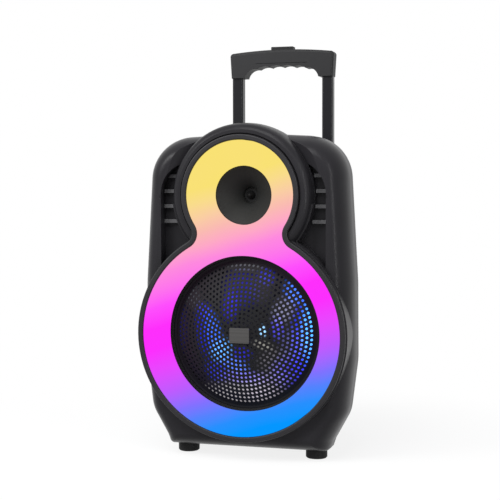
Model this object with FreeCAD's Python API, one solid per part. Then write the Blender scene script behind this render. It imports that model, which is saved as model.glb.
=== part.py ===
import FreeCAD, Part
import math
import os

# Party speaker on a trolley: a two-shell cabinet with a light-up figure-of-eight front, a woofer behind
# a domed grille, a horn tweeter, a telescopic pull handle, two rear wheels and a control panel at the back.
# Millimetres. +X is to the right seen from the front, +Y goes to the back, +Z up.
# The origin is on the floor under the middle of the cabinet. Depths are measured back from the bezel's face.

# ---- cabinet ----
depth = 340.0
rim_proud = 2.0
rear_face_d = depth - rim_proud
wall = 4.0
split_d = 120.0
base_z = 16.0
pillar_d = 20.0
straight_d = 105.0
rear_share = 0.62
rear_drop = 20.0
base_half = 148.0
flank_half = 194.5
shoulder_half = 179.0
shoulder_z = 577.0
top_z = 587.0
shoulder_radius = 78.0
rear_shoulder_radius = 30.0
front_reach = 58.0
front_side = 30.0
front_top = 33.0
front_low = 28.0
rear_round = 10.0
facet_x = 156.0
facet_z = 470.0
facet_run = 40.0
facet_climb = 112.0
facet_slope = 0.5

# ---- light-up front ----
woofer_z = 227.0
tweeter_rise = 247.7
upper_radius = 97.6
lower_radius = 180.6
neck_radius = 28.0
bezel_width = 10.0
bezel_depth = 10.0
bezel_round = 2.5
bezel_gap = 0.3
diffuser_d = 2.0
diffuser_back_d = 34.0
diffuser_wall = 3.0
woofer_opening = 140.0
woofer_edge_d = 26.0
tweeter_opening = 52.8
tweeter_edge_d = 27.0
tray_gap = 0.6
tray_wall = 3.5
tray_floor_d = 44.0
tray_floor = 3.0
board_thickness = 1.6
board_inset = 4.0
led_size = 5.0
led_height = 1.4
led_pitch = 13.0

# ---- collar round the upper light ring ----
collar_inner = 110.0
collar_radius = 129.5
collar_crest_d = 60.0
collar_tail_radius = 104.0
collar_tail_d = 165.0
bulge_radius = 192.6

# ---- vent pockets ----
pocket_half = 152.0
pocket_floor_d = 46.0
pocket_arc_radius = 58.0
pocket_arc_x = 94.0
pocket_wall = 3.0
rib_count = 4
rib_pitch = 27.2
rib_top_rise = 282.4
rib_thickness = 6.5
rib_front_d = 38.0

# ---- woofer ----
grille_radius = 136.4
grille_rise = 42.0
grille_sheet = 1.5
grille_rim_d = 45.4
badge_width = 36.0
badge_height = 27.0
badge_thickness = 1.6
trim_outer = 142.8
floor_opening = 143.2
basket_outer = 158.0
basket_inner = 143.6
basket_d = 47.0
flange = 3.0
surround_outer = 140.0
surround_inner = 117.0
surround_drop = 0.6
cone_d = 56.0
cone_depth = 49.0
cone_sheet = 1.2
coil_radius = 25.2
coil_sheet = 1.0
spider_d = 110.0
spider_outer = 70.0
spider_sheet = 0.8
plate_d = 120.0
plate_thickness = 6.0
magnet_radius = 75.0
magnet_depth = 26.0
pole_radius = 24.0
coil_gap = 1.2
screw_circle = 151.5
woofer_screw_count = 8
screw_radius = 1.9
screw_head = 4.0
screw_clear = 0.15

# ---- tweeter ----
horn_mouth = 51.6
horn_mouth_d = 36.0
horn_throat = 12.5
horn_throat_d = 82.0
horn_wall = 2.5
horn_flange = 68.0
tweeter_hole = 58.0
tweeter_magnet_radius = 42.0
tweeter_magnet_depth = 26.0

# ---- feet and wheels ----
foot_x = 121.8
foot_d = 84.0
foot_radius = 19.5
wheel_radius = 38.0
wheel_inset = 41.0
wheel_d = depth - wheel_inset
tyre_inner_x = 84.0
tyre_width = 22.0
tyre_thickness = 9.0
well_gap = 4.0
well_wall = 3.0
axle_radius = 4.0
axle_play = 0.05

# ---- pull handle ----
tube_x = 92.0
tube_inset = 24.0
tube_d = depth - tube_inset
tube_width = 21.6
tube_depth = 22.0
tube_corner = 4.0
tube_wall = 1.2
stage_gap = 0.3
stage_wall = 1.5
sleeve_bottom = 100.0
sleeve_top = 540.0
collar_top = 567.0
stage_collar = 4.0
stage_cap = 4.0
middle_bottom = 108.0
inner_bottom = 250.0
grip_half = 106.0
grip_depth = 33.0
grip_bottom = 707.0
grip_crown = 762.0
grip_end = 756.5
grip_corner = 7.0
grip_round = 5.0
grip_inner_x = 75.0
finger_pitch = 24.6
finger_depth = 3.0
button_half = 22.5
button_depth = 17.0
button_rise = 6.0
rod_radius = 2.5

# ---- control panel ----
panel_half = 74.0
panel_low = 396.0
panel_high = 524.0
panel_recess = 16.0
panel_floor_d = rear_face_d - panel_recess
panel_sheet = 3.0
panel_face_d = panel_floor_d + panel_sheet
panel_lip = 3.5
panel_gap = 0.4
knob_radius = 9.0
knob_row_z = 468.0
knob_pitch = 45.0
knob_shaft = 3.0
knob_height = 12.5
key_radius = 6.0
key_row_z = 440.0
key_pitch = 34.0
key_gap = 0.3
socket_row_z = 414.0
mic_bore = 3.25
aux_bore = 1.8
dc_bore = 2.8
rocker_tilt = 8.0

# ---- inside ----
board_drop = 20.0
post_inset = 8.0
post_radius = 3.5
board_face_d = panel_floor_d - board_drop
board_back_d = board_face_d - board_thickness
battery_half = 50.0
battery_d = 170.0
battery_depth = 76.0
battery_height = 68.0
strap = 2.0
port_radius = 30.0
port_wall = 3.0
port_length = 108.0
port_z = 262.0
well_screw_x = 62.0
well_screw_low = 30.0
well_screw_high = 546.0
well_outer = 8.0
well_inner = 6.0

tweeter_z = woofer_z + tweeter_rise
big = 600.0


# ---- helpers ----
def y_at(d):
    """Depth behind the bezel's front face to the Y coordinate."""
    return d - depth / 2


def point(x, d, z):
    return FreeCAD.Vector(x, y_at(d), z)


def block(x0, x1, d0, d1, z0, z1):
    return Part.makeBox(x1 - x0, d1 - d0, z1 - z0, point(x0, d0, z0))


def rod_y(x, z, radius, d0, d1):
    return Part.makeCylinder(radius, d1 - d0, point(x, d0, z), FreeCAD.Vector(0, 1, 0))


def rod_z(x, d, radius, z0, z1):
    return Part.makeCylinder(radius, z1 - z0, point(x, d, z0))


def rod_x(d, z, radius, x0, x1):
    return Part.makeCylinder(radius, x1 - x0, point(x0, d, z), FreeCAD.Vector(1, 0, 0))


def join(shapes):
    return shapes[0].multiFuse(shapes[1:]).removeSplitter() if len(shapes) > 1 else shapes[0]


def group(shapes):
    return Part.makeCompound([solid for shape in shapes for solid in shape.Solids])


def turned(profile, z, x=0.0):
    """Turns a closed (radius, depth) profile round the front-to-back line at height z."""
    corners = [point(x + r, d, z) for r, d in profile]
    face = Part.Face(Part.makePolygon(corners + corners[:1]))
    return face.revolve(point(x, 0, z), FreeCAD.Vector(0, 1, 0), 360)


def mirrored(shape):
    return shape.mirror(FreeCAD.Vector(0, 0, 0), FreeCAD.Vector(1, 0, 0))


def both_sides(shape):
    return [shape, mirrored(shape)]


def flat_first(shape):
    """The same solid, with its flat faces listed before its curved ones."""
    curved = [face for face in shape.Faces if not isinstance(face.Surface, Part.Plane)]
    flat = [face for face in shape.Faces if isinstance(face.Surface, Part.Plane)]
    flat.sort(key=lambda face: -face.Area)
    solid = Part.Solid(Part.Shell(flat + curved))
    if solid.Volume < 0:
        solid.reverse()
    return solid


def prism(wire, d0, d1):
    """Face inside a wire drawn at depth 0, pushed out between two depths."""
    solid = Part.Face(wire).extrude(FreeCAD.Vector(0, d1 - d0, 0))
    solid.translate(FreeCAD.Vector(0, d0, 0))
    return solid


def rounded_wire(corners, d=0.0):
    """Closed wire through (x, z, radius) corners, each rounded by an arc."""
    spots = [FreeCAD.Vector(x, y_at(d), z) for x, z, r in corners]
    edges = []
    ends = []
    for i, (x, z, radius) in enumerate(corners):
        here = spots[i]
        before = (spots[i - 1] - here).normalize()
        after = (spots[(i + 1) % len(spots)] - here).normalize()
        half = before.getAngle(after) / 2
        reach = radius / math.tan(half)
        start = here + before * reach
        end = here + after * reach
        bisector = (before + after).normalize()
        middle = here + bisector * (radius / math.sin(half) - radius)
        ends.append((start, end))
        edges.append(Part.Arc(start, middle, end).toShape())
    chain = []
    for i, edge in enumerate(edges):
        chain.append(edge)
        chain.append(Part.LineSegment(ends[i][1], ends[(i + 1) % len(ends)][0]).toShape())
    return Part.Wire(chain)


def rounded_rect(cx, cd, width, thick, corner, z0, z1):
    """Upright bar with a rounded rectangular section."""
    bar = block(cx - width / 2, cx + width / 2, cd - thick / 2, cd + thick / 2, z0, z1)
    edges = [e for e in bar.Edges if abs(e.Vertexes[0].Z - e.Vertexes[1].Z) > 0.5 * (z1 - z0)]
    return bar.makeFillet(corner, edges)


# ---- the cabinet's form ----
def unit(x, z):
    length = math.hypot(x, z)
    return x / length, z / length


def outline(side, top, low, share, drop, top_radius, d):
    """The cabinet seen from the front at depth d. Its sides, top and base move in by side, top and low."""
    foot = [(base_half - side, base_z + low, 8.0), (base_half + 6 - side, base_z + 18 + low / 2, 14.0)]
    flank = [(flank_half - 12 - side, base_z + 70, 60.0), (flank_half - side, woofer_z - 47, 150.0)]
    flank.append((flank_half - 1 - side, woofer_z + 93, 200.0))
    crown = [(shoulder_half - side, shoulder_z - drop - top, top_radius - (side + top) / 2)]
    crown.append((0.0, top_z - drop - top, 300.0))
    corners = [(x * share, z, r * share) for x, z, r in foot + flank]
    corners += [(x * share, z, r) for x, z, r in crown]
    corners += [(-x, z, r) for x, z, r in reversed(corners[:-1])]
    return rounded_wire(corners, d)


def share_at(d):
    """How narrow the cabinet is at depth d, against its front half."""
    return 1 + (rear_share - 1) * max(0.0, d - straight_d) / (rear_face_d - straight_d)


def section(inset, d, side=0.0, top=0.0, low=0.0):
    """Outline at depth d of the form moved in by inset, with its edges rounded by side, top and low."""
    share = share_at(d)
    behind = (1 - share) / (1 - rear_share)
    radius = shoulder_radius + (rear_shoulder_radius - shoulder_radius) * behind
    return outline((inset + side) / share, inset + top, inset + low, share, rear_drop * behind, radius, d)


def cabinet_form(inset):
    """The whole cabinet as one solid, moved in by inset on every side."""
    front = pillar_d + inset
    steps = [math.radians(15 * i) for i in range(7)]
    nose = []
    for angle in steps:
        share = 1 - math.sin(angle)
        d = front + front_reach * (1 - math.cos(angle))
        nose.append(section(inset, d, front_side * share, front_top * share, front_low * share))
    back = rear_face_d - inset
    tail = []
    for angle in steps:
        curve = rear_round * (1 - math.cos(angle))
        tail.append(section(inset, back - rear_round * (1 - math.sin(angle)), curve, curve, curve))
    pieces = [Part.makeLoft(nose, True, False),
              Part.makeLoft([nose[-1], section(inset, straight_d)], True, True)]
    pieces.append(Part.makeLoft([section(inset, straight_d), tail[0]], True, True))
    pieces.append(Part.makeLoft(tail, True, False))
    return pieces[0].fuse(pieces[1:]).cut(both_sides(facet(inset)))


def facet(inset):
    """Flat hollow between the collar and the shoulder, over a vent pocket."""
    along = unit(-facet_run, facet_climb)
    normal = (-along[1], along[0])
    reach = 90.0
    front = pillar_d + inset
    corners = []
    for s, d in ((0, front), (reach, front + facet_slope * reach), (reach, -50), (0, -50)):
        corners.append(point(facet_x + normal[0] * s, d, facet_z + normal[1] * s))
    face = Part.Face(Part.makePolygon(corners + corners[:1]))
    return face.extrude(FreeCAD.Vector(along[0], 0, along[1]) * 180)


def figure_eight(offset):
    """Outline of the light panel: two circles joined by hollow fillets."""
    upper = upper_radius + offset
    lower = lower_radius + offset
    neck = neck_radius - offset
    a = upper + neck
    b = lower + neck
    rise = (b * b - a * a + tweeter_rise ** 2) / (2 * tweeter_rise)
    reach = math.sqrt(b * b - rise * rise)
    centre = FreeCAD.Vector(reach, y_at(0), woofer_z + rise)
    top = FreeCAD.Vector(0, y_at(0), tweeter_z)
    low = FreeCAD.Vector(0, y_at(0), woofer_z)
    t1 = top + (centre - top) * (upper / a)
    t2 = low + (centre - low) * (lower / b)
    middle = centre + ((t1 + t2) * 0.5 - centre).normalize() * neck
    flip = [FreeCAD.Vector(-v.x, v.y, v.z) for v in (t1, t2, middle)]
    crown = top + FreeCAD.Vector(0, 0, upper)
    foot = low - FreeCAD.Vector(0, 0, lower)
    arcs = [(flip[0], crown, t1), (t1, middle, t2), (t2, foot, flip[1]), (flip[1], flip[2], flip[0])]
    return Part.Wire([Part.Arc(*arc).toShape() for arc in arcs])


def collar_form(inset):
    """The hump behind and round the upper light ring, fading into the cabinet's top."""
    front = bezel_depth + inset
    inner = collar_inner - inset
    crest = collar_radius - inset
    tail = collar_tail_radius - inset
    flat = [(0, front), (inner - 1, front), (inner, front - 4), (inner + 6, front - 3.8)]
    curve = [flat[-1], (crest - 5.5, front + 2), (crest - 1.5, front + 18), (crest, collar_crest_d)]
    curve += [(crest - 3.5, collar_crest_d + 35), (tail, collar_tail_d)]
    spots = [point(r, d, tweeter_z) for r, d in flat]
    spline = Part.BSplineCurve()
    spline.interpolate([point(r, d, tweeter_z) for r, d in curve])
    end = point(0, collar_tail_d, tweeter_z)
    edges = Part.makePolygon(spots).Edges + [spline.toShape()]
    edges += Part.makePolygon([point(tail, collar_tail_d, tweeter_z), end, spots[0]]).Edges
    face = Part.Face(Part.Wire(edges))
    return face.revolve(point(0, 0, tweeter_z), FreeCAD.Vector(0, 1, 0), 360)


def bulge_form(inset):
    radius = bulge_radius - inset
    front = bezel_depth + inset
    return turned([(0, front), (radius - 1.5, front), (radius, front + 1.5), (radius, 60), (0, 60)], woofer_z)


def pocket_outline(grow):
    """The vent pocket on the right, seen from the front."""
    slot = block(100, pocket_half + grow, 0, big, woofer_z + 100 - grow, woofer_z + 250)
    arc = rod_y(pocket_arc_x, woofer_z + 250, pocket_arc_radius + grow, 0, big)
    shape = slot.fuse(arc)
    shape = shape.cut(rod_y(0, tweeter_z, collar_radius + 0.5 - grow, -10, big + 10))
    shape = shape.cut(rod_y(0, woofer_z, bulge_radius + 0.5 - grow, -10, big + 10))
    return max(shape.Solids, key=lambda solid: solid.Volume)


# ---- shells ----
def screw_wells():
    return [(s * well_screw_x, z) for s in (-1, 1) for z in (well_screw_low, well_screw_high)]


def make_shells():
    right = block(0, big, -big, big, -big, 2 * big)
    outer = cabinet_form(0).fuse([collar_form(0), bulge_form(0)])
    inner = cabinet_form(wall).fuse([collar_form(wall), bulge_form(wall)])
    shell = outer.cut(inner)
    front = front_shell(outer, shell).common(right)
    rear = rear_shell(outer, shell).common(right)
    return flat_first(join(both_sides(front))), join(both_sides(rear))


def front_shell(outer, shell):
    front = shell.common(block(-big, big, -big, split_d, -big, 2 * big))
    tray = prism(figure_eight(tray_gap + tray_wall), bezel_depth, tray_floor_d + tray_floor)
    liner = pocket_outline(pocket_wall).common(
        block(0, big, pillar_d, pocket_floor_d + pocket_wall, 0, big + 100))
    liner = liner.common(outer)
    bosses = []
    for x, z in screw_wells():
        bosses.append(rod_y(x, z, well_inner, split_d - 22, split_d))
        side = 1 if z > woofer_z else -1
        end = z + side * 60
        bosses.append(block(x - 1.5, x + 1.5, split_d - 22, split_d, min(z, end), max(z, end)).common(outer))
    front = front.fuse([tray] + both_sides(liner) + bosses)
    cuts = [prism(figure_eight(tray_gap), 0, tray_floor_d),
            prism(figure_eight(bezel_width + 0.5), 0, bezel_depth)]
    cuts.append(rod_y(0, woofer_z, floor_opening, tray_floor_d - 1, tray_floor_d + tray_floor + 1))
    cuts.append(rod_y(0, tweeter_z, tweeter_hole, tray_floor_d - 1, tray_floor_d + tray_floor + 1))
    pocket = pocket_outline(0).common(block(0, big, -20, pocket_floor_d, 0, big + 100))
    cuts += both_sides(pocket)
    for x, z in screw_wells():
        cuts.append(rod_y(x, z, screw_radius, split_d - 18, split_d + 1))
    for x, z in woofer_screws():
        cuts.append(rod_y(x, z, screw_radius + screw_clear, tray_floor_d - 1, tray_floor_d + tray_floor + 1))
    for side in (-1, 1):
        cuts.append(rod_z(side * foot_x, foot_d, screw_radius + screw_clear, base_z - 1, base_z + wall + 1))
    return front.cut(cuts)


def rear_shell(outer, shell):
    rear = shell.common(block(-big, big, split_d, big, -big, 2 * big))
    adds = []
    for side in (-1, 1):
        x0 = tyre_inner_x - well_gap + 1 - well_wall
        liner = rod_x(wheel_d, wheel_radius, wheel_radius + well_gap + well_wall, x0, big)
        liner = liner.common(outer)
        adds.append(liner if side > 0 else mirrored(liner))
    for x, z in screw_wells():
        tube = rod_y(x, z, well_outer, split_d, rear_face_d).common(outer)
        side = 1 if z > woofer_z else -1
        end = z + side * 60
        rib = block(x - 1.5, x + 1.5, split_d, rear_face_d, min(z, end), max(z, end)).common(outer)
        adds += [tube, rib]
    rear = rear.fuse(adds)
    cuts = []
    for side in (-1, 1):
        x0 = tyre_inner_x - well_gap + 1
        well = rod_x(wheel_d, wheel_radius, wheel_radius + well_gap, x0, big)
        well = well.fuse(block(x0, big, wheel_d - wheel_radius - well_gap, big, -10, wheel_radius))
        cuts.append(well if side > 0 else mirrored(well))
        guide = rounded_rect(side * tube_x, tube_d, collar_width(), collar_thick(), tube_corner + 3,
                             sleeve_top - 20, big)
        cuts.append(guide)
    cuts.append(rod_x(wheel_d, wheel_radius, axle_radius + axle_play, -big, big))
    for x, z in screw_wells():
        cuts.append(rod_y(x, z, well_inner, split_d + 3, big))
        cuts.append(rod_y(x, z, screw_radius + screw_clear, split_d - 1, split_d + 4))
    edge = panel_half + panel_gap
    cuts.append(block(-edge, edge, rear_face_d - 10, big, panel_low - panel_gap, panel_high + panel_gap))
    cuts.append(rod_y(0, port_z, port_radius + port_wall + panel_gap, rear_face_d - 10, big))
    rear = rear.cut(cuts)
    return max(rear.Solids, key=lambda solid: solid.Volume)


def collar_width():
    return tube_width + 2 * (stage_gap + stage_wall + stage_gap + stage_collar) + 2 * stage_gap


def collar_thick():
    return tube_depth + 2 * (stage_gap + stage_wall + stage_gap + stage_collar) + 2 * stage_gap


# ---- light-up front ----
def make_bezel():
    ring = prism(figure_eight(bezel_width), 0, bezel_depth)
    ring = ring.cut(prism(figure_eight(bezel_gap), -1, bezel_depth + 1))
    edges = [e for e in ring.Edges if e.BoundBox.YMax < y_at(0.01)]
    return ring.makeFillet(bezel_round, edges)


def dish(radius, edge_radius, edge_d, shift, z):
    """Cone that hollows the light panel round one opening."""
    slope = (edge_d - diffuser_d) / (radius - edge_radius)
    lip = diffuser_d - slope * 8
    profile = [(0, lip - 40), (radius + 8, lip - 40), (radius + 8, lip + shift),
               (edge_radius, edge_d + shift)]
    profile += [(edge_radius, 80), (0, 80)]
    return turned(profile, z)


def make_diffuser():
    wall = diffuser_wall
    face = prism(figure_eight(-bezel_gap), diffuser_d, diffuser_back_d)
    face = face.cut([dish(lower_radius, woofer_opening, woofer_edge_d, 0, woofer_z),
                     dish(upper_radius, tweeter_opening, tweeter_edge_d, 0, tweeter_z)])
    room = prism(figure_eight(-bezel_gap - wall), diffuser_d + wall, diffuser_back_d + 1)
    dishes = [dish(lower_radius, woofer_opening + wall, woofer_edge_d, wall, woofer_z),
              dish(upper_radius, tweeter_opening + wall, tweeter_edge_d, wall, tweeter_z)]
    return face.cut(room.cut(dishes))


def make_led_board():
    board = prism(figure_eight(-board_inset), tray_floor_d - board_thickness, tray_floor_d)
    holes = [rod_y(0, woofer_z, floor_opening + 3, 0, 80), rod_y(0, tweeter_z, tweeter_hole + 3, 0, 80)]
    return board.cut(holes)


def make_leds():
    """Rows of lamps on the board, on a ring round each opening."""
    lamps = []
    back = tray_floor_d - board_thickness
    for z, radius, low, high in ((woofer_z, 163.0, 110, 430), (tweeter_z, 79.0, -50, 230)):
        count = int((high - low) * math.pi / 180 * radius / led_pitch)
        for i in range(count + 1):
            angle = math.radians(low + (high - low) * i / count)
            x = radius * math.cos(angle)
            h = z + radius * math.sin(angle)
            half = led_size / 2
            lamps.append(block(x - half, x + half, back - led_height, back, h - half, h + half))
    return group(lamps)


def make_trim_ring():
    """Stepped dark ring between the light panel and the grille."""
    front = diffuser_back_d + 0.3
    steps = [(141.0, front), (141.0, 37.0), (139.5, 37.0), (139.5, 40.0), (138.0, 40.0), (138.0, 43.0)]
    steps += [(grille_radius + 0.3, 43.0), (grille_radius + 0.3, 47.0), (133.0, 47.0), (133.0, 48.6)]
    steps += [(trim_outer, 48.6), (trim_outer, front)]
    return turned(steps, woofer_z)


# ---- vents ----
def make_vent_ribs():
    """Short slats across each vent pocket."""
    ribs = []
    for i in range(rib_count):
        z = woofer_z + rib_top_rise - i * rib_pitch
        reach = math.sqrt((collar_radius + 0.8) ** 2 - (abs(z - tweeter_z) - rib_thickness) ** 2)
        rib = block(reach, pocket_half - 0.3, rib_front_d, pocket_floor_d,
                    z - rib_thickness / 2, z + rib_thickness / 2)
        rib = rib.common(pocket_outline(-0.3))
        ribs += both_sides(rib)
    return group(ribs)


# ---- woofer ----
def ring_places(radius, count, z, start=0.0):
    places = []
    for i in range(count):
        angle = start + 2 * math.pi * i / count
        places.append((radius * math.cos(angle), z + radius * math.sin(angle)))
    return places


def woofer_screws():
    return ring_places(screw_circle, woofer_screw_count, woofer_z, math.pi / woofer_screw_count)


def make_grille():
    """Domed steel grille with a flat rim, its holes closed."""
    radius = grille_radius - 4
    ball = (radius ** 2 + grille_rise ** 2) / (2 * grille_rise)
    apex = grille_rim_d - grille_rise
    centre = point(0, apex + ball, woofer_z)
    dome = Part.makeSphere(ball, centre).cut(Part.makeSphere(ball - grille_sheet, centre))
    dome = dome.common(rod_y(0, woofer_z, radius, apex - 10, grille_rim_d + grille_sheet))
    rim = turned([(radius - 1.5, grille_rim_d), (grille_radius, grille_rim_d),
                  (grille_radius, grille_rim_d + grille_sheet),
                  (radius - 1.5, grille_rim_d + grille_sheet)], woofer_z)
    return dome.fuse(rim)


def badge_d():
    return grille_rim_d - grille_rise


def make_badge():
    """Blank plate fixed over the middle of the grille."""
    half_w = badge_width / 2
    half_h = badge_height / 2
    plate = block(-half_w, half_w, badge_d() - badge_thickness, badge_d() + 0.9,
                  woofer_z - half_h, woofer_z + half_h)
    radius = grille_radius - 4
    ball = (radius ** 2 + grille_rise ** 2) / (2 * grille_rise)
    plate = plate.cut(Part.makeSphere(ball, point(0, badge_d() + ball, woofer_z)))
    edges = [e for e in plate.Edges if e.BoundBox.YLength > badge_thickness - 0.2
             and e.BoundBox.XLength < 0.1]
    return plate.makeFillet(1.5, [e for e in edges if e.BoundBox.ZLength < 0.1])


def make_basket():
    """Pressed steel frame that carries the surround, the spider and the magnet."""
    back = basket_d + flange
    lip = cone_d - surround_drop
    profile = [(basket_outer, basket_d), (basket_outer, back), (basket_inner + 2, back),
               (basket_inner + 2, lip + 2)]
    profile += [(surround_outer, lip + 2), (spider_outer + 6, plate_d - 4)]
    profile += [(spider_outer + 6, plate_d), (coil_radius + 8, plate_d), (coil_radius + 8, plate_d - 2)]
    seat = spider_d + spider_sheet / 2
    profile += [(spider_outer - 2, plate_d - 2), (spider_outer - 2, seat), (spider_outer + 2, seat)]
    profile += [(surround_outer - 2, lip), (basket_inner, lip), (basket_inner, basket_d)]
    frame = turned(profile, woofer_z)
    windows = []
    for x, z in ring_places(108, 6, woofer_z):
        windows.append(rod_y(x, z, 16, basket_d + 12, plate_d + 5))
    holes = [rod_y(x, z, screw_radius + screw_clear, basket_d - 1, back + 1) for x, z in woofer_screws()]
    return frame.cut(windows + holes)


def make_surround():
    """Half-round rubber roll between the cone and the frame."""
    middle = (surround_outer + surround_inner) / 2
    roll = 8.0
    sheet = 1.2
    lip = cone_d - surround_drop
    outer = []
    inner = []
    for i in range(9):
        angle = math.pi * i / 8
        outer.append((middle + (roll + sheet) * math.cos(angle),
                      lip - (roll + sheet) * math.sin(angle) * 0.8))
        inner.append((middle + roll * math.cos(angle), lip - roll * math.sin(angle) * 0.8))
    profile = [(basket_inner - 0.3, lip), (basket_inner - 0.3, lip - sheet)]
    profile += [(outer[0][0], lip - sheet)] + outer[1:-1] + [(outer[-1][0], lip - sheet)]
    profile += [(surround_inner, lip - sheet), (surround_inner, lip)] + list(reversed(inner))
    return turned(profile, woofer_z)


def make_cone():
    depth_end = cone_d + cone_depth
    bottom = coil_radius + coil_sheet
    profile = [(surround_inner + 2, cone_d), (surround_inner - 3, cone_d), (bottom, depth_end)]
    profile += [(bottom, depth_end + cone_sheet + 1), (surround_inner - 2, cone_d + cone_sheet + 1)]
    profile += [(surround_inner + 2, cone_d + cone_sheet)]
    return turned(profile, woofer_z)


def make_dust_cap():
    radius = 34.0
    rise = 11.0
    ball = (radius ** 2 + rise ** 2) / (2 * rise)
    slope = cone_depth / (surround_inner - 3 - coil_radius - coil_sheet)
    edge_d = cone_d + (surround_inner - 3 - radius) * slope - 0.2
    centre = point(0, edge_d - rise + ball, woofer_z)
    cap = Part.makeSphere(ball, centre).cut(Part.makeSphere(ball - 1, centre))
    return cap.common(rod_y(0, woofer_z, radius, edge_d - rise - 5, edge_d))


def make_voice_coil():
    start = cone_d + cone_depth - 6
    profile = [(coil_radius, start), (coil_radius + coil_sheet, start + 6),
               (coil_radius + coil_sheet, plate_d + 12)]
    return turned(profile + [(coil_radius, plate_d + 12)], woofer_z)


def make_spider():
    inner = coil_radius + coil_sheet + 0.2
    waves = 6
    top = []
    low = []
    for i in range(waves * 2 + 1):
        r = inner + (spider_outer + 1 - inner) * i / (waves * 2)
        flat = i == 0 or i >= waves * 2 - 1
        shift = 0.0 if flat else (1.4 if i % 2 else -1.4)
        top.append((r, spider_d + shift - spider_sheet / 2))
        low.append((r, spider_d + shift + spider_sheet / 2))
    return turned(top + list(reversed(low)), woofer_z)


def make_magnet():
    hole = coil_radius + 7
    start = plate_d + plate_thickness
    end = start + magnet_depth
    return turned([(hole, start), (magnet_radius, start), (magnet_radius, end), (hole, end)], woofer_z)


def make_magnet_plates():
    """Front plate and the yoke with its pole."""
    gap = coil_radius + coil_sheet + coil_gap
    front = turned([(gap, plate_d), (magnet_radius - 5, plate_d),
                    (magnet_radius - 5, plate_d + plate_thickness),
                    (gap, plate_d + plate_thickness)], woofer_z)
    start = plate_d + plate_thickness + magnet_depth
    profile = [(0, plate_d), (pole_radius, plate_d), (pole_radius, start), (magnet_radius - 4, start)]
    yoke = turned(profile + [(magnet_radius - 4, start + plate_thickness), (0, start + plate_thickness)],
                  woofer_z)
    return group([front, yoke])


def headed_screw_y(x, z, head_d, head_len, tip_d):
    head = rod_y(x, z, screw_head, head_d, head_d + head_len)
    return head.fuse(rod_y(x, z, screw_radius, tip_d, head_d))


def make_woofer_screws():
    back = basket_d + flange
    return group([headed_screw_y(x, z, back, 2.4, tray_floor_d + 0.3) for x, z in woofer_screws()])


# ---- tweeter ----
def horn_curve(grow):
    spots = []
    steps = 10
    for i in range(steps + 1):
        share = i / steps
        radius = horn_throat + (horn_mouth - horn_throat) * (1 - share) ** 1.7
        spots.append((radius + grow, horn_mouth_d + (horn_throat_d - horn_mouth_d) * share))
    return spots


def make_horn():
    seat = tray_floor_d + tray_floor
    outer = horn_curve(horn_wall)
    before = [spot for spot in outer if spot[1] < seat]
    after = [spot for spot in outer if spot[1] > seat + flange]
    rim = [(horn_flange, seat), (horn_flange, seat + flange)]
    near = before[-1][0]
    profile = horn_curve(0) + [(horn_throat + 18, horn_throat_d), (horn_throat + 18, horn_throat_d - 3)]
    profile += list(reversed(after[:-1])) + [(near, seat + flange)] + list(reversed(rim)) + [(near, seat)]
    profile += list(reversed(before))
    horn = turned(profile, tweeter_z)
    holes = [rod_y(x, z, screw_radius + screw_clear, seat - 1, seat + flange + 1)
             for x, z in ring_places(63, 4, tweeter_z, math.pi / 4)]
    return horn.cut(holes)


def make_tweeter_dome():
    start = horn_throat_d
    plate = turned([(0, start), (horn_throat + 16, start), (horn_throat + 16, start + 2), (0, start + 2)],
                   tweeter_z)
    bullet = turned([(0, start - 14), (2.5, start - 12), (6, start - 5), (8, start), (0, start)], tweeter_z)
    return plate.fuse(bullet)


def make_tweeter_magnet():
    start = horn_throat_d + 2
    end = start + tweeter_magnet_depth
    profile = [(0, start), (tweeter_magnet_radius - 3, start), (tweeter_magnet_radius - 3, start + 5)]
    profile += [(tweeter_magnet_radius, start + 5), (tweeter_magnet_radius, end - 5),
                (tweeter_magnet_radius - 3, end - 5)]
    return turned(profile + [(tweeter_magnet_radius - 3, end), (0, end)], tweeter_z)


# ---- feet, wheels ----
def make_feet():
    feet = []
    for side in (-1, 1):
        foot = rod_z(side * foot_x, foot_d, foot_radius, 0, base_z)
        low = [e for e in foot.Edges if e.BoundBox.ZMax < 0.1 and e.BoundBox.XLength > foot_radius]
        foot = foot.makeChamfer(2, low)
        foot = foot.cut(rod_z(side * foot_x, foot_d, screw_head + 1, -1, 6))
        feet.append(foot.cut(rod_z(side * foot_x, foot_d, screw_radius + screw_clear, -1, base_z + 1)))
    return group(feet)


def make_foot_screws():
    screws = []
    for side in (-1, 1):
        head = rod_z(side * foot_x, foot_d, screw_head, 3, 6)
        screws.append(head.fuse(rod_z(side * foot_x, foot_d, screw_radius, 6, base_z + wall + 4)))
    return group(screws)


def make_axle():
    """Steel axle across the cabinet, with a head outside each wheel."""
    end = tyre_inner_x + tyre_width + 1.6
    rod = rod_x(wheel_d, wheel_radius, axle_radius, -end, end)
    heads = [rod_x(wheel_d, wheel_radius, axle_radius + 3, end, end + 2)]
    return join([rod] + heads + [mirrored(heads[0])])


def make_hub():
    rim = wheel_radius - tyre_thickness
    x0 = tyre_inner_x + 1
    x1 = tyre_inner_x + tyre_width - 1
    hub = rod_x(wheel_d, wheel_radius, rim, x0, x1)
    hub = hub.cut(rod_x(wheel_d, wheel_radius, rim - 3.5, x0 - 1, x0 + 7))
    hub = hub.cut(rod_x(wheel_d, wheel_radius, rim - 3.5, x1 - 7, x1 + 1))
    spokes = []
    for i in range(5):
        angle = 2 * math.pi * i / 5
        d = wheel_d + 17 * math.cos(angle)
        spokes.append(rod_x(d, wheel_radius + 17 * math.sin(angle), 5, x0 - 1, x1 + 1))
    boss = rod_x(wheel_d, wheel_radius, axle_radius + 5, tyre_inner_x - 2, tyre_inner_x + tyre_width + 1)
    hub = hub.cut(spokes).fuse(boss)
    return hub.cut(rod_x(wheel_d, wheel_radius, axle_radius + axle_play, 0, big))


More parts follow.
